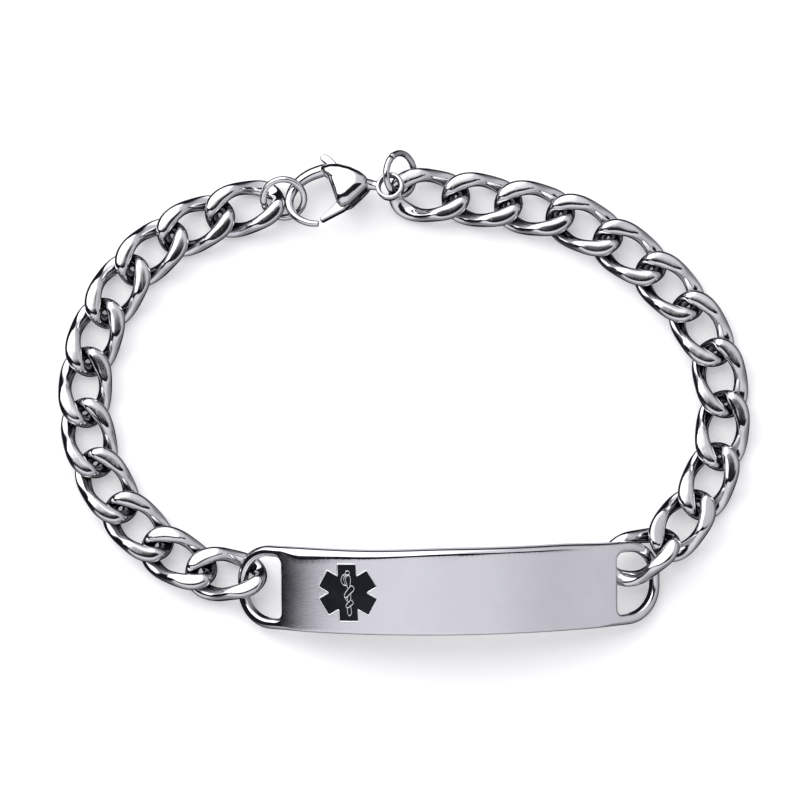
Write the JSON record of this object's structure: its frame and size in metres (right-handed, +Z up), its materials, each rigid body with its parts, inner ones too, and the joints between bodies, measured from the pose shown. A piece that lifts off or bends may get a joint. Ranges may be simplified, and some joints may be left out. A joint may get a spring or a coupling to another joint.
{
  "type": "medical alert bracelet",
  "caption": "Closed medical alert bracelet: curved identity plate with enamel emblem and end loops, flat curb chain, jump rings and a hook clasp with a sprung lever.",
  "frame": {"origin": "on the surface that the bracelet lies on, under the middle of its outline seen from above", "axes": "+X to the right along the plate as the wearer of the picture's view sees it, +Y from the plate towards the clasp, +Z up"},
  "size_m": [0.0812, 0.0582, 0.0105],
  "materials": {
    "plate_steel": "fine satin face, polished edges and end loops",
    "enamel": "black enamel, glossy, with fine silver lines",
    "chain_steel": "satin ground facets, mirror-polished rounded sides",
    "ring_steel": "polished wire",
    "clasp_steel": "polished casting"
  },
  "bodies": {
    "bracelet": {"plate": "plate_steel", "emblem": "enamel", "link_l01": "chain_steel", "link_l02": "chain_steel", "link_l03": "chain_steel", "link_l04": "chain_steel", "link_l05": "chain_steel", "link_l06": "chain_steel", "link_l07": "chain_steel", "link_l08": "chain_steel", "link_l09": "chain_steel", "link_l10": "chain_steel", "link_l11": "chain_steel", "link_r01": "chain_steel", "link_r02": "chain_steel", "link_r03": "chain_steel", "link_r04": "chain_steel", "link_r05": "chain_steel", "link_r06": "chain_steel", "link_r07": "chain_steel", "link_r08": "chain_steel", "link_r09": "chain_steel", "link_r10": "chain_steel", "link_r11": "chain_steel", "link_r12": "chain_steel", "jump_ring_left": "ring_steel", "jump_ring_right": "ring_steel", "clasp_body": "clasp_steel", "clasp_pin": "clasp_steel"},
    "lever": {"clasp_lever": "clasp_steel"}
  },
  "joints": [
    {"name": "clasp_lever_hinge", "type": "hinge", "parent": "bracelet", "child": "lever", "pos_m": [-0.00693, 0.02449, 0.00305], "axis": [0.1776, -0.1686, -0.9695], "range_deg": [0, 18], "stiffness_Nm_per_rad": 0.002}
  ]
}
